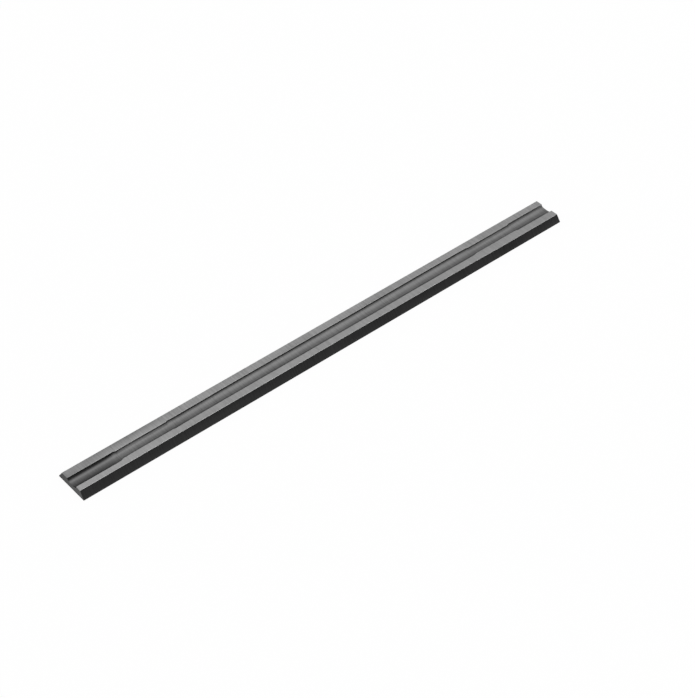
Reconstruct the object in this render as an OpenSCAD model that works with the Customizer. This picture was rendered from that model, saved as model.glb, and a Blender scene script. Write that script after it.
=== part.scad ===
// Reversible planer knife for a hand-held power planer: one sintered carbide strip.
// It lies on its rake face with the grooved back up. Millimetres.
// X runs along the two cutting edges, Y across them and Z up from the rake face.
// The origin is the middle of the rake face.

/* [Blank] */
// Length along the cutting edges, on the rake face
knife_l = 82; // [60:0.5:110]
// Width from one cutting edge to the other, on the rake face
knife_w = 5.5; // [4.8:0.1:7]
// Thickness from the rake face to the lands on the back
knife_t = 1.1; // [0.9:0.05:1.5]
// Angle of each cutting edge, between the rake face and its bevel
wedge_angle = 55; // [48:1:70]
// Angle by which each end face leans in from the rake face to the back
end_relief = 5; // [0:0.5:15]

/* [Locating groove] */
// Depth of the groove below the lands, at its middle
groove_d = 0.5; // [0.4:0.02:0.65]
// Radius of the hollow that the groove's floor is ground to
floor_r = 2.5; // [1.6:0.1:12]
// Width of the groove along the middle of the knife
middle_w = 1.86; // [1.64:0.02:2.2]
// Width of the groove at the two necks, which take up the play on the holder's rib
neck_w = 1.66; // [1.2:0.02:1.76]
// Width of the groove at the pocket in each end
pocket_w = 1.96; // [1.64:0.02:2.2]
// Length of each pocket, from the end of the rake face
pocket_l = 7; // [3:0.5:12]
// Length of each neck, between its pocket and the middle of the groove
neck_l = 8; // [3:0.5:12]
// Length over which the groove changes from one width to the next
ramp_l = 0.6; // [0.2:0.1:2]
// Radius at the foot of the walls, in the necks and the middle
foot_r = 0.3; // [0.1:0.02:0.38]
// Radius at the foot of the walls, in the pockets
pocket_foot_r = 0.4; // [0.2:0.01:0.46]

/* [Hidden] */
$fn = 96;
// How far each cutting shape runs past the face that it opens
past = 0.5;
// How far each bevel comes in from its cutting edge, at the back
bevel_run = knife_t / tan(wedge_angle);
// How far each end face comes in from the end of the rake face, at the back
end_run = knife_t * tan(end_relief);
half_l = knife_l / 2;
half_w = knife_w / 2;
// Height of the groove's floor above the rake face
floor_z = knife_t - groove_d;
// Where the groove changes width, measured from the middle of the knife
pocket_x = half_l - pocket_l;
neck_x = pocket_x - neck_l;

// Lays a profile drawn in X and Y across the knife, and carries it from x0 to x1 along it
module along_knife(x0, x1) {
    translate([x0, 0, 0]) rotate([90, 0, 90]) linear_extrude(height = x1 - x0) children();
}

// The strip before the groove: its bevels and its leaning ends are four planes
module blank() {
    intersection() {
        along_knife(-half_l, half_l)
            polygon([
                [-half_w, 0],
                [half_w, 0],
                [half_w - bevel_run, knife_t],
                [bevel_run - half_w, knife_t]
            ]);
        translate([0, half_w, 0]) rotate([90, 0, 0]) linear_extrude(height = knife_w)
            polygon([
                [-half_l, 0],
                [half_l, 0],
                [half_l - end_run, knife_t],
                [end_run - half_l, knife_t]
            ]);
    }
}

// Section of the groove, with the lowest point of its hollow floor at 0.
// Each round foot has its own lowest point on the floor's arc, and it ends at its upright wall.
module trough(w, foot) {
    foot_y = w / 2 - foot;
    foot_z = floor_r - sqrt(pow(floor_r, 2) - pow(foot_y, 2)) + foot;
    // The floor reaches a little way into the feet, so that the arcs cross
    floor_y = foot_y + foot / 8;
    intersection() {
        translate([0, floor_r]) circle(r = floor_r);
        translate([-floor_y, 0]) square([2 * floor_y, foot_z]);
    }
    for (side = [-1, 1]) translate([side * foot_y, foot_z]) circle(r = foot);
    translate([-w / 2, foot_z]) square([w, groove_d - foot_z + past]);
}

// A stretch of groove from x0 to x1, seen from above as the outline given as a child
module stretch(x0, x1, w, foot) {
    intersection() {
        translate([0, 0, floor_z]) along_knife(x0, x1) trough(w, foot);
        linear_extrude(height = knife_t + 2 * past) children();
    }
}

// The middle narrows to the neck's width over a ramp at both ends
module middle_stretch() {
    x = neck_x + ramp_l / 2;
    stretch(-x, x, middle_w, foot_r)
        polygon([
            [-x, -neck_w / 2],
            [ramp_l - x, -middle_w / 2],
            [x - ramp_l, -middle_w / 2],
            [x, -neck_w / 2],
            [x, neck_w / 2],
            [x - ramp_l, middle_w / 2],
            [ramp_l - x, middle_w / 2],
            [-x, neck_w / 2]
        ]);
}

// A pocket is open at the end of the knife and narrows over a ramp at its inner end
module pocket_stretch() {
    x = pocket_x - ramp_l / 2;
    stretch(x, half_l + past, pocket_w, pocket_foot_r)
        polygon([
            [x, -neck_w / 2],
            [x + ramp_l, -pocket_w / 2],
            [half_l + past, -pocket_w / 2],
            [half_l + past, pocket_w / 2],
            [x + ramp_l, pocket_w / 2],
            [x, neck_w / 2]
        ]);
}

// A neck reaches into the ramps at both of its ends
module neck_stretch() {
    translate([0, 0, floor_z])
        along_knife(neck_x - ramp_l / 2, pocket_x + ramp_l / 2)
            trough(neck_w, foot_r);
}

module locating_groove() {
    middle_stretch();
    for (turn = [0, 180]) rotate([0, 0, turn]) {
        neck_stretch();
        pocket_stretch();
    }
}

module knife() {
    color([0.33, 0.33, 0.33])
        difference() {
            blank();
            locating_groove();
        }
}

knife();
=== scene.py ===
# %% [markdown]
# # A reversible planer knife on a white table
#
# A planer knife is a thin strip of tungsten carbide, pressed and sintered in one piece and then
# ground. This one lies on its rake face with the back up: two flat lands with a groove between
# them, a bevel down each long side, and an end face at each end.
#
# The engineering model gives the knife's box and its place. This lesson makes the knife's skin
# again with numpy, finely enough to hold light on its edges, and gives each ground face its own
# finish. The engineering model could be shown as it is, but its edges are perfectly sharp, and
# no light ever catches on a perfectly sharp edge.

import bpy
import numpy as np
from mathutils import Matrix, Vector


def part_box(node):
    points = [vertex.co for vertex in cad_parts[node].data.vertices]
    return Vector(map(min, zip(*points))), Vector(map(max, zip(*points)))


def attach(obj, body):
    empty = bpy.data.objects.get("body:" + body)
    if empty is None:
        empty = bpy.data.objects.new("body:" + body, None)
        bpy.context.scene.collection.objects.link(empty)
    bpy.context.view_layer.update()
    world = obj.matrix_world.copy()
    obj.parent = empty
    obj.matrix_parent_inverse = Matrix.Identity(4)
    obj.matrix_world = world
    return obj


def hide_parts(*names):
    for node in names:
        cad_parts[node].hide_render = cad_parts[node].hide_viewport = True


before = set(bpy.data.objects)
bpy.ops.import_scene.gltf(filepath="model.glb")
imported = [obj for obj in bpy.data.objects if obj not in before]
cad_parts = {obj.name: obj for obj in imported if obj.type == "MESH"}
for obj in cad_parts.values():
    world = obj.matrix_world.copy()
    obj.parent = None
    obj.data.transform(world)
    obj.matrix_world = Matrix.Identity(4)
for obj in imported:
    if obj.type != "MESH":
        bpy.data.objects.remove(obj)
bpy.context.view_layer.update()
low, high = (np.array(corner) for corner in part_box("knife"))
length, width, thickness = high - low
print("knife:", *(f"{1000 * side:.2f}" for side in (length, width, thickness)), "mm")

# %% [markdown]
# ## The sizes that the box doesn't tell
#
# The box gives length, width and thickness. The angles and the groove are sizes of the real
# knife, here in metres. The groove is widest in a short pocket at each end, narrowest in the neck
# beside it and a little wider again along the middle, so that only the two necks touch the rib of
# the knife holder. Nothing is as sharp as a drawing: even a cutting edge has a tiny radius.

# %% Sizes of the bevels, the ends and the groove
MM = 0.001
WEDGE = np.radians(55)  # between the rake face and each bevel
END_RELIEF = np.radians(5)  # lean of the end faces
GROOVE_DEPTH = 0.5 * MM  # at the groove's middle
FLOOR_RADIUS = 2.5 * MM  # the floor is slightly hollow
MIDDLE_WIDTH = 1.86 * MM
NECK_WIDTH = 1.66 * MM
POCKET_WIDTH = 1.96 * MM
POCKET_LENGTH = 7 * MM
NECK_LENGTH = 8 * MM
RAMP_LENGTH = 0.35 * MM  # from one width to the next
FOOT_RADIUS = 0.3 * MM  # where the floor turns up into a wall, along the middle
NECK_FOOT_RADIUS = 0.4 * MM
POCKET_FOOT_RADIUS = 0.37 * MM
GROOVE_RIM = 0.015 * MM  # radius along the groove's two rims
LAND_EDGE = 0.02 * MM  # radius along the outer edges of the lands
CUTTING_EDGE = 0.01 * MM  # radius of a keen edge
END_BREAK = 0.02 * MM  # radius round the end faces
FADE = 2 * MM  # how far from the ends the skin starts to follow the lean of the end faces

half_length, half_width = length / 2, width / 2
floor_height = thickness - GROOVE_DEPTH
pocket_start = half_length - POCKET_LENGTH
neck_start = pocket_start - NECK_LENGTH
print(f"necks from {1000 * neck_start:.1f} mm, pockets from {1000 * pocket_start:.1f} mm out")

# %% [markdown]
# ## Stations along the knife
#
# A ground strip is the same profile all along, apart from the groove's width. So the skin is that
# profile carried along X, with a station wherever something changes: close together on the ramps
# between two widths and round the end faces, and far apart where the knife is straight. The
# spacing of the end stations follows a quarter circle, which rounds the edge of the end face.

# %% Where the stations are
def quarter_circle(radius, steps):
    """Distance in from the end, r(1 - cos t), and inset of the profile, r(1 - sin t), for t to 90°."""
    turn = np.linspace(0, np.pi / 2, steps + 1)
    return radius * (1 - np.cos(turn)), radius * (1 - np.sin(turn))


def ramp(middle):
    """Stations over one ramp, which is centred on the place where the width changes."""
    return np.linspace(middle - RAMP_LENGTH / 2, middle + RAMP_LENGTH / 2, 7)


end_distance, end_inset = quarter_circle(END_BREAK, 4)
straight = np.concatenate([
    np.linspace(0, neck_start - RAMP_LENGTH, 24),
    ramp(neck_start),
    np.linspace(neck_start + RAMP_LENGTH, pocket_start - RAMP_LENGTH, 6),
    ramp(pocket_start),
    np.linspace(pocket_start + RAMP_LENGTH, half_length - FADE, 4),
    [half_length - FADE / 2],
])
one_side = np.concatenate([straight, (half_length - end_distance)[::-1]])
one_inset = np.concatenate([np.zeros(len(straight)), end_inset[::-1]])
stations = np.concatenate([-one_side[:0:-1], one_side])
insets = np.concatenate([one_inset[:0:-1], one_inset])
print(len(stations), "stations along the knife")

# %% [markdown]
# The groove's half width and the radii of its floor and foot are worked out at every station at
# once. They are constant in each pocket, neck and middle, with a straight ramp from one to the
# next.
#
# On top of that come the small faults of a real knife. The groove is pressed before the blank goes
# into the furnace, where it shrinks by a fifth and warps by a tenth of a millimetre. Lands and
# bevels are ground straight afterwards, but the groove gets only a light pass that follows its
# warp. So it wanders sideways at one end, its middle is narrower at one end than at the other, and
# one pocket has slumped rounder. The grinding has a fault of its own: the near bevel gets slightly
# steeper towards one end, which leaves the land beside it a tenth of a millimetre wider.

# %% The faults: where along the knife, and how large they are there
WANDER_AT = np.array([-41, -35, -32, -26, -18, 8, 16]) * MM
WANDER = np.array([-0.15, -0.18, -0.10, -0.10, -0.035, -0.035, 0.0]) * MM  # of the groove, along Y
WIDENING_AT = np.array([-26, -25, 25, 26]) * MM
WIDENING = np.array([0.0, -0.09, 0.06, 0.0]) * MM  # of the groove's middle
STEEPENING_AT = np.array([0, 25, 29]) * MM
STEEPENING = np.array([0.0, 0.05, 0.12]) * MM  # of the near bevel, as width won by its land
SLUMP_AT = np.array([-35, -33.8]) * MM  # one pocket is fully slumped up to the first place
SLUMPED_FLOOR_RADIUS = 1.5 * MM
SLUMPED_FOOT_RADIUS = 0.2 * MM

# %% The groove at each station
def along_groove(pocket, neck, middle):
    """A size at every station: middle, neck or pocket by the distance from the knife's middle."""
    half_ramp = RAMP_LENGTH / 2
    turns = [
        neck_start - half_ramp,
        neck_start + half_ramp,
        pocket_start - half_ramp,
        pocket_start + half_ramp,
    ]
    return np.interp(np.abs(stations), turns, [middle, neck, neck, pocket])


wander = np.interp(stations, WANDER_AT, WANDER)
widening = np.interp(stations, WIDENING_AT, WIDENING)
steepening = np.interp(stations, STEEPENING_AT, STEEPENING)
slumped = np.interp(stations, SLUMP_AT, [1, 0])
groove_half = (along_groove(POCKET_WIDTH, NECK_WIDTH, MIDDLE_WIDTH) + widening) / 2
floor_radius = FLOOR_RADIUS + slumped * (SLUMPED_FLOOR_RADIUS - FLOOR_RADIUS)
foot_radius = along_groove(POCKET_FOOT_RADIUS, NECK_FOOT_RADIUS, FOOT_RADIUS)
foot_radius = foot_radius + slumped * (SLUMPED_FOOT_RADIUS - foot_radius)
foot_y = groove_half - foot_radius
print(f"groove {2000 * groove_half.min():.2f} to {2000 * groove_half.max():.2f} mm wide,",
      f"up to {1000 * np.abs(wander).max():.2f} mm off the middle")

# %% [markdown]
# ## The profile
#
# Half of the profile, from the middle of the groove to the cutting edge, is a row of arcs with
# straight faces between them. A cube with bevelled edges and a boolean groove would give about the
# same shape, but a boolean leaves ragged faces just where the light plays. An arc gives its points
# and, beside them, the direction that the surface faces there. The direction is needed again at
# the ends, where the whole profile is drawn in along it. The floor's arc runs smoothly into the
# foot's: two circles touch where both centres and the touching point are in one line.

# %% The arcs of the half profile
def arc(centre_y, centre_z, radius, start, stop, steps, hollow=False):
    """Centre plus radius times (sin t, cos t), t from start to stop; a hollow arc faces its centre."""
    turn = np.linspace(0, 1, steps + 1) * (stop - start)[:, None] + start[:, None]
    away = np.stack([np.sin(turn), np.cos(turn)], axis=-1)
    centre = np.stack([centre_y, centre_z], axis=-1)[:, None, :]
    return centre + radius[:, None, None] * away, -away if hollow else away


def bevel_y(z, behind=0.0):
    """Y of the point at height z that lies this far behind the plane of the bevel."""
    return half_width - (behind + z * np.cos(WEDGE)) / np.sin(WEDGE)


every = np.ones(len(stations))
touch = np.pi - np.arcsin(foot_y / (floor_radius - foot_radius))
foot_height = floor_height + floor_radius + np.cos(touch) * (floor_radius - foot_radius)
rim_height, land_height = ((thickness - radius) * every for radius in (GROOVE_RIM, LAND_EDGE))
keen = CUTTING_EDGE * every
right, down = np.pi / 2 * every, np.pi * every
PROFILE = [
    ("floor", arc(0 * every, floor_height + floor_radius, floor_radius, down, touch, 10,
                  hollow=True)),
    ("foot", arc(foot_y, foot_height, foot_radius, touch, right, 10, hollow=True)),
    ("rim", arc(groove_half + GROOVE_RIM, rim_height, GROOVE_RIM * every, -right, 0 * every, 4)),
    ("edge", arc(bevel_y(land_height, LAND_EDGE), land_height, LAND_EDGE * every,
                 0 * every, WEDGE * every, 4)),
    ("cutting edge", arc(bevel_y(keen, CUTTING_EDGE), keen, keen, WEDGE * every, down, 4)),
]
BETWEEN = ["joint", "wall", "land", "bevel"]  # the straight face after each arc but the last
print(sum(points.shape[1] for _, (points, _) in PROFILE), "points in the half profile")

# %% [markdown]
# Every face keeps a name, because each has its own finish. The half profile is mirrored, the
# groove's points are moved aside by its wander, and the rake face closes the loop underneath, from
# one cutting edge straight to the other. Where the floor's arc meets the foot's, the two share a
# point, so the doubled one is dropped.

# %% The whole loop
half_points = np.concatenate([points[:, 1:] if name == "foot" else points
                              for name, (points, _) in PROFILE], axis=1)
half_facing = np.concatenate([facing[:, 1:] if name == "foot" else facing
                              for name, (_, facing) in PROFILE], axis=1)
half_names = []
for number, (name, (points, _)) in enumerate(PROFILE):
    half_names += [name] * (points.shape[1] - 1)
    if 0 < number < len(BETWEEN):
        half_names.append(BETWEEN[number])

loop = np.concatenate([half_points[:, :0:-1] * [-1, 1], half_points], axis=1)
loop_facing = np.concatenate([half_facing[:, :0:-1] * [-1, 1], half_facing], axis=1)
loop_names = half_names[::-1] + half_names + ["rake face"]
point_names = np.concatenate([[name] * (points.shape[1] - (name == "foot"))
                              for name, (points, _) in PROFILE])
point_names = np.concatenate([point_names[:0:-1], point_names])
near_side = np.arange(len(point_names)) < len(point_names) // 2
loop[..., 0] += wander[:, None] * np.isin(point_names, ["floor", "foot", "rim"])
loop[..., 0] -= steepening[:, None] * (near_side & (point_names == "edge"))
print(loop.shape[1], "points round the profile")

# %% [markdown]
# ## Carrying the profile along the knife
#
# The end faces lean in by the relief angle, so near the ends a point moves inwards with its
# height. The rounding of the end face stays a little smaller than the radius of each edge that it
# crosses, or the skin would fold over itself there. Each pair of neighbouring stations then gives
# one row of quadrilaterals. The points of the first station lie in one plane, and so do those of
# the last, so each end face is a single polygon with many corners, which Blender cuts into
# triangles by itself.

# %% The skin as one grid, and its faces
NO_FOLD = 0.9  # the rounding's size as a share of the edge's radius
EDGE_RADIUS = {"rim": GROOVE_RIM, "edge": LAND_EDGE, "cutting edge": CUTTING_EDGE}


def carry():
    """The profile drawn in along its facing by the inset, at x = station - lean of the end."""
    room = np.array([min(EDGE_RADIUS.get(name, END_BREAK), END_BREAK) for name in loop_names])
    room = NO_FOLD * np.minimum(room, np.roll(room, 1))
    profile = loop - loop_facing * (insets[:, None] * (room / END_BREAK))[..., None]
    near_end = np.clip((np.abs(stations) - (half_length - FADE)) / FADE, 0, 1)
    lean = (np.sign(stations) * near_end)[:, None] * profile[..., 1] * np.tan(END_RELIEF)
    return np.concatenate([(stations[:, None] - lean)[..., None], profile], axis=-1)


skin = carry()
rings, around = skin.shape[:2]
index = np.arange(rings * around).reshape(rings, around)
ahead = np.roll(index, -1, axis=1)
sides = np.stack([index[:-1], index[1:], ahead[1:], ahead[:-1]], axis=-1).reshape(-1, 4)

end_faces = [index[0].tolist(), index[-1, ::-1].tolist()]
faces = sides.tolist() + end_faces
face_names = np.array(loop_names * (rings - 1) + ["end face"] * len(end_faces))
print(len(faces), "faces")

# %% [markdown]
# Two numbers tell whether a skin is sound. Each edge of a closed skin belongs to exactly two
# faces, so none may be open. And the volume, added up face by face, comes out right only if every
# face points outwards: a face that points inwards is taken off instead of added. The engineering
# model has 361 cubic millimetres.

# %% Put the skin into a mesh and measure it
FLAT = ["land", "wall", "bevel", "rake face", "end face"]

mesh = bpy.data.meshes.new("carbide_knife")
mesh.from_pydata(skin.reshape(-1, 3).tolist(), [], faces)
mesh.polygons.foreach_set("use_smooth", ~np.isin(face_names, FLAT))
mesh.update()
knife = bpy.data.objects.new("carbide_knife", mesh)
bpy.context.scene.collection.objects.link(knife)
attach(knife, "root")
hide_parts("knife")

mesh.calc_loop_triangles()
corners = np.empty(3 * len(mesh.loop_triangles), dtype=int)
mesh.loop_triangles.foreach_get("vertices", corners)
first, second, third = skin.reshape(-1, 3)[corners.reshape(-1, 3)].transpose(1, 0, 2)
volume = np.einsum("ij,ij->", first, np.cross(second, third)) / 6
edge_use = np.empty(len(mesh.loops), dtype=int)
mesh.loops.foreach_get("edge_index", edge_use)
open_edges = np.count_nonzero(np.bincount(edge_use) != 2)
print(f"{len(mesh.loop_triangles)} triangles, {open_edges} open edges, {1e9 * volume:.1f} cubic mm")

# %% [markdown]
# ## Shader sums in Python
#
# A finish is a small calculation at each point of the surface. Blender writes it as a web of
# nodes, one per sum, which is slow to read. This class wraps a socket, so that the calculation
# can be written as a Python expression: each operator adds the Math node that it stands for. Any
# other node comes from the one method `node`, which sets the node's own settings first and then
# fills its sockets, because the settings decide which sockets there are.

# %% A socket that does sums
def set_stops(color_ramp, stops):
    """Give a Color Ramp the stops (position, value), in grey."""
    while len(color_ramp.elements) < len(stops):
        color_ramp.elements.new(0.5)
    for element, (position, value) in zip(color_ramp.elements, stops):
        element.position = position
        element.color = (value, value, value, 1.0)


class Signal:
    """A value that changes over the surface: the output socket of a node, with operators."""

    def __init__(self, socket):
        self.socket = socket

    def node(self, kind, settings, inputs, output=0):
        """Add a node: its settings first, then the values or links of its sockets."""
        tree = self.socket.id_data
        node = tree.nodes.new(kind)
        for name, value in settings.items():
            if name == "stops":
                set_stops(node.color_ramp, value)
            else:
                setattr(node, name, value)
        for name, value in inputs.items():
            if isinstance(value, Signal):
                tree.links.new(value.socket, node.inputs[name])
            else:
                node.inputs[name].default_value = value
        return Signal(node.outputs[output])

    def sum_of(self, operation, *values):
        """Add the Math node for one operator."""
        return self.node("ShaderNodeMath", {"operation": operation}, dict(enumerate(values)))

    def __add__(self, other):
        return self.sum_of("ADD", self, other)

    def __sub__(self, other):
        return self.sum_of("SUBTRACT", self, other)

    def __rsub__(self, other):
        return self.sum_of("SUBTRACT", other, self)

    def __mul__(self, other):
        return self.sum_of("MULTIPLY", self, other)

    def __truediv__(self, other):
        return self.sum_of("DIVIDE", self, other)

    def __abs__(self):
        return self.sum_of("ABSOLUTE", self)

    __radd__ = __add__
    __rmul__ = __mul__


def blend(share, low, high):
    """A colour between two, by the share: a Mix node, whose colours are its sockets 6 and 7."""
    return share.node("ShaderNodeMix", {"data_type": "RGBA"}, {0: share, 6: low, 7: high}, output=2)


def smooth_share(value, start, stop):
    """A share that rises from 0 to 1 while the value goes from start to stop."""
    return value.node("ShaderNodeMapRange", {"interpolation_type": "SMOOTHSTEP"}, {
        "Value": value, "From Min": start, "From Max": stop,
    })


# %% [markdown]
# Grinding leaves lines, and they run across the knife, the way the wheel passed. A noise pattern
# becomes lines when it is stretched: many cells to the millimetre along the knife, and less than
# one across it. Lines at three sizes, from soft patches to hairlines, look like real grinding at
# any distance. The pattern reads Object coordinates, so it stays where it is on the knife.

# %% Patterns of the grinding wheel and of the sintered skin
def pattern(place, cells, detail=2.0, offset=0.0):
    """Noise from -1 to 1 that has so many cells per millimetre along X, Y and Z."""
    moved = place.node("ShaderNodeMapping", {"vector_type": "POINT"}, {
        "Vector": place,
        "Location": (offset, offset / 3, offset / 7),
        "Scale": tuple(count / MM for count in cells),
    })
    noise = moved.node("ShaderNodeTexNoise", {"noise_dimensions": "3D"}, {
        "Vector": moved, "Scale": 1.0, "Detail": detail, "Roughness": 0.6,
    })
    return 2 * noise - 1


def grinding_lines(place, offset, to_the_mm=4.2):
    """Soft patches, lines and hairlines across the knife, from about -1 to 1."""
    patches = pattern(place, (0.14, 0.7, 0.7), 1.0, offset)
    lines = pattern(place, (to_the_mm, 0.14, 0.14), 2.0, offset + 11)
    hairlines = pattern(place, (22.0, 0.5, 0.5), 2.0, offset + 23)
    return 0.8 * patches + 1.5 * lines + 0.6 * hairlines


def sintered_grain(place, offset):
    """Soft patches and fine grain with no direction, from about -1 to 1."""
    patches = pattern(place, (4.5, 3.0, 3.0), 2.0, offset)
    grain = pattern(place, (16.0, 16.0, 16.0), 2.0, offset + 5)
    return 1.2 * patches + 0.8 * grain


# %% [markdown]
# ## One finish for each kind of face
#
# Each finish is a tone, which the pattern makes a little lighter or darker, and a roughness that
# follows the same pattern, since a deeper line both darkens and dulls the surface. The tones are
# written as grey levels from 0 to 255, as a picture would show them in plain light, and turned
# into the amounts of light that Blender works with.

# %% From grey levels to light, and the common part of all finishes
def light(level):
    """Share of light for a grey level: ((level/255 + 0.055) / 1.055) to the power of 2.4."""
    return ((level / 255 + 0.055) / 1.055) ** 2.4


def grey(level):
    """The same share in red, green and blue, with an alpha of one."""
    return (light(level),) * 3 + (1.0,)


def new_finish(name):
    """A metal material: its Principled shader and the place on the knife as a Signal."""
    material = bpy.data.materials.new(name)
    material.use_nodes = True
    tree = material.node_tree
    shader = tree.nodes["Principled BSDF"]
    shader.inputs["Metallic"].default_value = 1.0
    place = Signal(tree.nodes.new("ShaderNodeTexCoord").outputs["Object"])
    return material, shader, place


def plug(signal, shader, name):
    """Link a signal to a socket of the shader."""
    signal.socket.id_data.links.new(signal.socket, shader.inputs[name])


def tone(marks, dark, bright):
    """A colour between two greys, halfway where the marks are 0."""
    share = marks.node("ShaderNodeClamp", {}, {"Value": 0.5 * marks + 0.5})
    return blend(share, grey(dark), grey(bright))


def relief(marks, height):
    """A Bump that raises the surface by the height, in metres, where the marks are 1."""
    return marks.node("ShaderNodeBump", {}, {"Height": marks, "Distance": height, "Strength": 1.0})


# %% [markdown]
# Most faces change in tone along the knife or across it, so a finish needs X, Y and Z by
# themselves, and a value that changes along the knife between a few stops. The rake face and the
# groove's rims have plain grinding lines; the rims' much lighter greys are a painted highlight.

# %% What the finishes share, and the plain ground finish
LINE_DEPTH = 0.4e-6  # relief of the grinding lines, in metres


def coordinates(place):
    """X, Y and Z on the knife as three signals."""
    x = place.node("ShaderNodeSeparateXYZ", {}, {"Vector": place})
    return (x, *(Signal(x.socket.node.outputs[axis]) for axis in "YZ"))


def along(x, stops):
    """A value from -1 to 1 that changes along the knife: stops of X in mm and the value there."""
    places = [(at * MM / length + 0.5, 0.5 * value + 0.5) for at, value in stops]
    return 2 * x.node("ShaderNodeValToRGB", {"stops": places}, {0: x / length + 0.5}) - 1


def dress(parts, marks, colour, roughness, height):
    """Plug colour, roughness and relief into the shader, and return the material."""
    material, shader, _ = parts
    plug(colour, shader, "Base Color")
    plug(roughness, shader, "Roughness")
    plug(relief(marks, height), shader, "Normal")
    return material


def ground_finish(name, dark, bright, roughness, offset):
    """Grinding lines between two greys; the roughness and the relief follow the lines."""
    parts = new_finish(name)
    lines = grinding_lines(parts[2], offset)
    return dress(parts, lines, tone(lines, dark, bright), roughness - 0.05 * lines, LINE_DEPTH)


ground_rake = ground_finish("ground_rake_face", 150, 176, 0.35, 40.0)
# painted highlight: the rims are much lighter than the lands beside them
groove_rim_painted_highlight = ground_finish("groove_rim_painted_highlight", 178, 208, 0.3, 100.0)
cutting_edge = ground_finish("cutting_edge", 96, 130, 0.25, 160.0)

# %% [markdown]
# Each land's tone drifts along the knife in its own way, and for a stretch the far land is lighter
# on the side of the groove: this is painted light and shade. Each number below is a shift between
# the two greys of the finish, at a place along the knife. The outer edges of the lands carry a
# painted highlight along the near one and painted shade along the far one.

# %% The lands and their outer edges
LAND_MIDDLE = 1.45 * MM  # from the middle of the knife to the middle of a land
LAND_HALF = 0.5 * MM
EDGE_PLACE = 1.98 * MM  # from the middle of the knife to the outer edge of a land
# painted light and shade along each land, and across the far one
FAR_LAND_PAINTED_LIGHT = [(-41, -0.15), (-34, -0.2), (-27, -0.12), (-22, 0.15), (-11, 0.15), (-5, -0.05),
             (41, 0.25)]
NEAR_LAND_PAINTED_LIGHT = [(-41, 0.7), (-34, 0.45), (-20, 0.2), (0, 0.05), (41, 0.1)]
FAR_LAND_PAINTED_LEAN = [(-40, 0.0), (-36, 0.35), (-30, 0.6), (-25, 0.3), (-15, 0.0)]


def land_finish(name, dark, bright):
    """Lines, with painted light and shade that drifts along each land and leans across the far one."""
    parts = new_finish(name)
    x, y, _ = coordinates(parts[2])
    lines = grinding_lines(parts[2], 0.0)
    far_side = y.node("ShaderNodeMath", {"operation": "GREATER_THAN"}, {0: y, 1: 0.0})
    across = (LAND_MIDDLE - y) / LAND_HALF
    far_painted_light = along(x, FAR_LAND_PAINTED_LIGHT) + across * along(x, FAR_LAND_PAINTED_LEAN)
    near_painted_light = along(x, NEAR_LAND_PAINTED_LIGHT)
    painted_light = near_painted_light + far_side * (far_painted_light - near_painted_light)
    marks = lines * (0.36 + 0.26 * far_side)
    return dress(parts, lines, tone(marks + painted_light, dark, bright), 0.38 - 0.05 * lines, LINE_DEPTH)


def edge_finish(name, dark, bright):
    """Faint lines, with a painted highlight along the near edge and painted shade along the far one.
    """
    parts = new_finish(name)
    _, y, _ = coordinates(parts[2])
    lines = grinding_lines(parts[2], 120.0)
    painted_light = y / -EDGE_PLACE
    return dress(parts, lines, tone(0.2 * lines + painted_light, dark, bright), 0.3 - 0.05 * lines, LINE_DEPTH)


ground_land = land_finish("ground_land", 108, 158)
# painted highlight along the near outer edge, painted shade along the far one
land_edge_painted_light = edge_finish("land_edge_painted_light", 40, 225)

# %% [markdown]
# The bevels are lapped finer than the lands, and are smoother. Their much darker tone is painted
# shade, for the dim surroundings that they mirror, painted a little lighter towards the cutting edge
# and darker towards the end where the near one is steeper. The end faces are the bare skin of the
# sintered blank, which has a grain and no lines.

# %% The bevels and the end faces
# painted shade along the knife, darker where the near bevel is steeper
BEVEL_PAINTED_SHADE = [(0, 0.65), (25, 0.4), (29, 0.1)]
LAPPED_DEPTH = 0.2e-6  # relief of the finer lines, in metres
SKIN_DEPTH = 1e-6  # relief of the sintered skin, in metres


def bevel_finish(name, dark, bright):
    """Fine lines on painted shade, lighter towards the cutting edge and darker towards the steeper
    end.
    """
    parts = new_finish(name)
    x, _, z = coordinates(parts[2])
    lines = grinding_lines(parts[2], 80.0, 6.0)
    marks = 0.9 * lines + along(x, BEVEL_PAINTED_SHADE) - z * (0.8 / thickness)
    return dress(parts, lines, tone(marks, dark, bright), 0.25 - 0.04 * lines, LAPPED_DEPTH)


def end_face_finish(name, dark, bright):
    """Sintered grain, darker towards one side."""
    parts = new_finish(name)
    _, y, _ = coordinates(parts[2])
    grain = sintered_grain(parts[2], 200.0)
    marks = 0.5 * grain - y * (0.7 / half_width)
    return dress(parts, grain, tone(marks, dark, bright), 0.5 + 0.06 * grain, SKIN_DEPTH)


# painted shade: the dark tone stands in for the dim surroundings that the bevels mirror
bevel_painted_shade = bevel_finish("bevel_painted_shade", 38, 64)
sintered_end = end_face_finish("sintered_end_face", 48, 86)

# %% [markdown]
# The groove is satin on its floor, with soft streaks from its light pass. Painted shade darkens its
# near side, most of all towards the near foot. Painted light brightens the far foot and the walls,
# except in the slumped pocket, where painted shade darkens them. Height above the floor tells the
# wall from the floor, so one finish does for both, with no seam between them.

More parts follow.
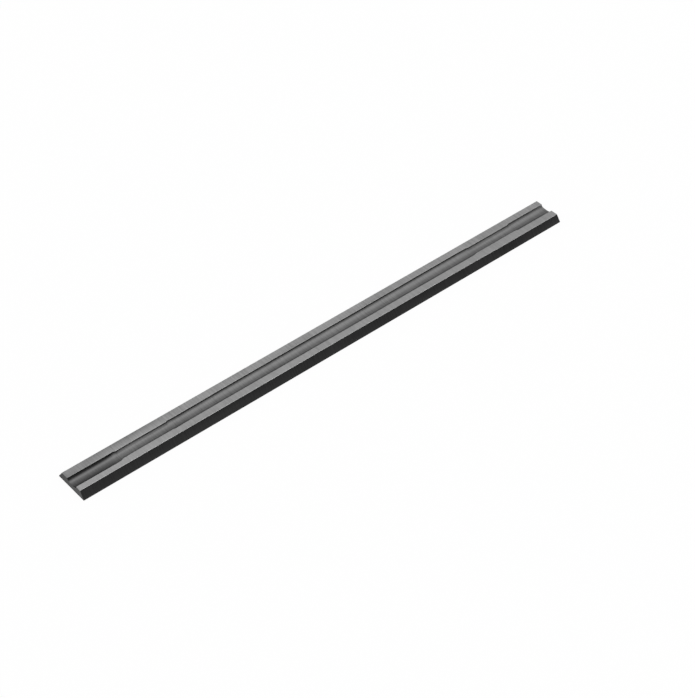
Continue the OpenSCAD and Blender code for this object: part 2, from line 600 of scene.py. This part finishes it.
# %% The groove
# painted light and shade in the groove, set at places along the knife
FLOOR_TONE = [(-35, 0.42), (-34, 0.47)]
WALL_PAINTED_LIGHT = [(-34.6, -1.0), (-33.4, 1.0), (-26.3, 1.0), (-25.7, 0.5), (25.7, 0.3), (26.3, 1.0),
             (33.7, 1.0), (34.3, 0.1)]
NEAR_SIDE_PAINTED_SHADE = [(-35.5, -0.72), (-33.5, -0.32)]
NEAR_FOOT_PAINTED_SHADE = [(-34.5, 0.0), (-33.5, -0.45)]
STREAKS = [(-35, 0.3), (-34, 1.0)]
WALL_START, WALL_FULL = 0.06 * MM, 0.26 * MM  # heights above the floor where the wall's tone sets in
NEAR_SIDE_START, NEAR_SIDE_FULL = 0.45 * MM, 0.0  # Y where the near side's tone sets in
NEAR_FOOT_START, NEAR_FOOT_FULL = -0.28 * MM, -0.42 * MM  # Y where the near foot's tone sets in
SATIN_DEPTH = 2e-6  # relief of the streaks and the grain, in metres


def groove_finish(name, dark, bright):
    """Satin floor with painted shade on its near side, turning to the walls' painted light and shade
    by height.
    """
    parts = new_finish(name)
    x, y, z = coordinates(parts[2])
    wall_share = smooth_share(z, floor_height + WALL_START, floor_height + WALL_FULL)
    near_share = smooth_share(y, NEAR_SIDE_START, NEAR_SIDE_FULL)
    floor_tone = along(x, FLOOR_TONE)
    foot_share = smooth_share(y, NEAR_FOOT_START, NEAR_FOOT_FULL)
    # painted shade on the near side and near foot; painted light and shade on the walls
    near_painted_shade = near_share * along(x, NEAR_SIDE_PAINTED_SHADE) + foot_share * along(x, NEAR_FOOT_PAINTED_SHADE)
    shade = floor_tone + near_painted_shade + wall_share * (along(x, WALL_PAINTED_LIGHT) - floor_tone)
    streaks = along(x, STREAKS) * grinding_lines(parts[2], 17.0, 8.0)
    marks = 0.12 * sintered_grain(parts[2], 31.0) + 0.42 * streaks
    return dress(parts, marks, tone(shade + marks, dark, bright), 0.42 + 0.1 * marks, SATIN_DEPTH)


# satin floor under painted light and shade
satin_groove_painted_shade = groove_finish("satin_groove_painted_shade", 40, 128)

# %% [markdown]
# Each face still has its name, and the table below says which finish that name gets. A mesh keeps
# its finishes in a row of slots, and each face stores only the number of its slot.

# %% Give every face its finish
FINISHES = {
    "land": ground_land,
    "rake face": ground_rake,
    "bevel": bevel_painted_shade,
    "rim": groove_rim_painted_highlight,
    "edge": land_edge_painted_light,
    "cutting edge": cutting_edge,
    "end face": sintered_end,
    "floor": satin_groove_painted_shade,
    "foot": satin_groove_painted_shade,
    "wall": satin_groove_painted_shade,
}
slots = list(dict.fromkeys(FINISHES.values()))
for material in slots:
    mesh.materials.append(material)
slot_of = {name: slots.index(material) for name, material in FINISHES.items()}
mesh.polygons.foreach_set("material_index", [slot_of[name] for name in face_names])
print(len(slots), "finishes on", len(faces), "faces")

# %% [markdown]
# ## Table, light and camera
#
# The table is white, and it should look pure white in the picture without extra lamps, which
# would wash out the metal. So the camera, and the mirror rays and glass rays with it, see mostly
# an even white glow, and only a small share of the real surface with the knife's soft shadow.
# All other light meets the plain white paint. The table curves up at its edge, as a roll of
# backdrop paper does, so that a low camera sees no horizon: rings of points, each ring further out
# and higher on a circle, with one flat polygon inside the first.

# %% A white table that keeps a faint shadow
TABLE_RADIUS = 3.0
SWEEP_RADIUS = 1.5  # of the curve at the table's edge
SWEEP_ANGLE = np.radians(70)  # how steep the curve gets
TABLE_DROP = 0.01 * MM  # a hair below the knife, so that the two faces don't fight
GLOW_SHARE = 0.95  # how much of the glow the camera sees


def sweep(rings, around):
    """Rings at radius R + r sin t and height r(1 - cos t), and the faces between them."""
    turn = np.linspace(0, SWEEP_ANGLE, rings)[:, None]
    way = np.linspace(0, 2 * np.pi, around, endpoint=False)[None, :]
    reach = TABLE_RADIUS + SWEEP_RADIUS * np.sin(turn)
    height = SWEEP_RADIUS * (1 - np.cos(turn)) - TABLE_DROP
    points = np.stack([reach * np.cos(way), reach * np.sin(way), height + 0 * way], axis=-1)
    number = np.arange(rings * around).reshape(rings, around)
    after = np.roll(number, -1, axis=1)
    between = np.stack([number[:-1], number[1:], after[1:], after[:-1]], axis=-1)
    return points.reshape(-1, 3).tolist(), [number[0].tolist(), *between.reshape(-1, 4).tolist()]


table_points, table_faces = sweep(16, 96)
table_mesh = bpy.data.meshes.new("table")
table_mesh.from_pydata(table_points, [], table_faces)
table_mesh.polygons.foreach_set("use_smooth", np.arange(len(table_faces)) > 0)
table = bpy.data.objects.new("table", table_mesh)
bpy.context.scene.collection.objects.link(table)

paint, paint_shader, _ = new_finish("white_table")
paint_shader.inputs["Metallic"].default_value = 0.0
paint_shader.inputs["Base Color"].default_value = (0.95, 0.95, 0.95, 1.0)
paint_shader.inputs["Roughness"].default_value = 0.7
ray = Signal(paint.node_tree.nodes.new("ShaderNodeLightPath").outputs["Is Camera Ray"])
mirrored, through = (Signal(ray.socket.node.outputs[name])
                     for name in ("Is Glossy Ray", "Is Transmission Ray"))
glow = ray.node("ShaderNodeEmission", {}, {"Color": (1.0, 1.0, 1.0, 1.0), "Strength": 1.0})
mixed = ray.node("ShaderNodeMixShader", {}, {
    0: GLOW_SHARE * (ray + mirrored + through),
    1: Signal(paint_shader.outputs["BSDF"]),
    2: glow,
})
paint.node_tree.links.new(mixed.socket, paint.node_tree.nodes["Material Output"].inputs["Surface"])
table_mesh.materials.append(paint)
print("table", 2 * TABLE_RADIUS, "m across")

# %% [markdown]
# The light is a pale surround, brightest overhead and dimmer down at table level, as in a light
# tent, with one large soft lamp high above. Metal shows what it mirrors: the lamp brightens
# whatever tilts towards it, such as one half of the hollow groove floor, and the steep bevels
# mirror the dimmer part of the surround.

# %% Surround and softbox
SURROUND_LOW = 0.42  # strength at table level
SURROUND_HIGH = 0.92  # strength overhead
FULLY_OVERHEAD = 0.8  # height from which it is at full strength, on a ball of radius 1
LAMP_WAY = np.array([0.38, 0.20, 0.92])  # direction from the knife to the lamp
LAMP_DISTANCE = 0.9
LAMP_SIZE = 0.7
LAMP_POWER = 1.25


def facing(forward, up_hint):
    """Rows are right, up and backward: right = forward x up_hint, up = right x forward."""
    forward = forward / np.linalg.norm(forward)
    right = np.cross(forward, up_hint)
    right /= np.linalg.norm(right)
    return np.array([right, np.cross(right, forward), -forward])


def placed(rows, place):
    """A 4 x 4 matrix with the rows as its axes, moved to the place."""
    matrix = Matrix(rows.tolist()).transposed().to_4x4()
    matrix.translation = place.tolist()
    return matrix


world = bpy.data.worlds.new("surround")
bpy.context.scene.world = world
world.use_nodes = True
outward = Signal(world.node_tree.nodes.new("ShaderNodeTexCoord").outputs["Generated"])
_, _, climb = coordinates(outward)
surround = blend(smooth_share(climb, 0.0, FULLY_OVERHEAD), (SURROUND_LOW,) * 3 + (1.0,),
                 (SURROUND_HIGH,) * 3 + (1.0,))
plug(surround, world.node_tree.nodes["Background"], "Color")

lamp_data = bpy.data.lights.new("softbox", "AREA")
lamp_data.shape = "DISK"
lamp_data.size = LAMP_SIZE
lamp_data.energy = LAMP_POWER
lamp = bpy.data.objects.new("softbox", lamp_data)
bpy.context.scene.collection.objects.link(lamp)
lamp_way = LAMP_WAY / np.linalg.norm(LAMP_WAY)
lamp.matrix_world = placed(facing(-lamp_way, (0, 1, 0)), lamp_way * LAMP_DISTANCE)
radiance = LAMP_POWER / (np.pi * np.pi * (LAMP_SIZE / 2) ** 2)
print(f"surround {SURROUND_LOW} to {SURROUND_HIGH}, softbox radiance {radiance:.2f}")

# %% [markdown]
# The camera stands where the photographer stood, which was found by fitting a pinhole camera to
# the knife's corners and long edges. It looks down at about 43 degrees, turned by about 40
# degrees from straight across the knife, and it is rolled by one degree.

# %% The camera
CAMERA_PLACE = np.array([-0.10612, -0.13155, 0.15405])
HEADING, ELEVATION, ROLL = np.radians([39.725, 42.691, 0.980])
LENS = 88.53  # on the standard 36 mm sensor

view_way = np.array([
    np.sin(HEADING) * np.cos(ELEVATION),
    np.cos(HEADING) * np.cos(ELEVATION),
    -np.sin(ELEVATION),
])
right_row, up_row, back_row = facing(view_way, (0, 0, 1))
rolled_up = up_row * np.cos(ROLL) + right_row * np.sin(ROLL)
camera_data = bpy.data.cameras.new("camera")
camera_data.lens = LENS
camera = bpy.data.objects.new("camera", camera_data)
bpy.context.scene.collection.objects.link(camera)
camera.matrix_world = placed(facing(view_way, rolled_up), CAMERA_PLACE)
bpy.context.scene.camera = camera
bpy.context.scene.view_settings.view_transform = "Standard"
print(f"camera {np.linalg.norm(CAMERA_PLACE):.3f} m from the knife's middle")
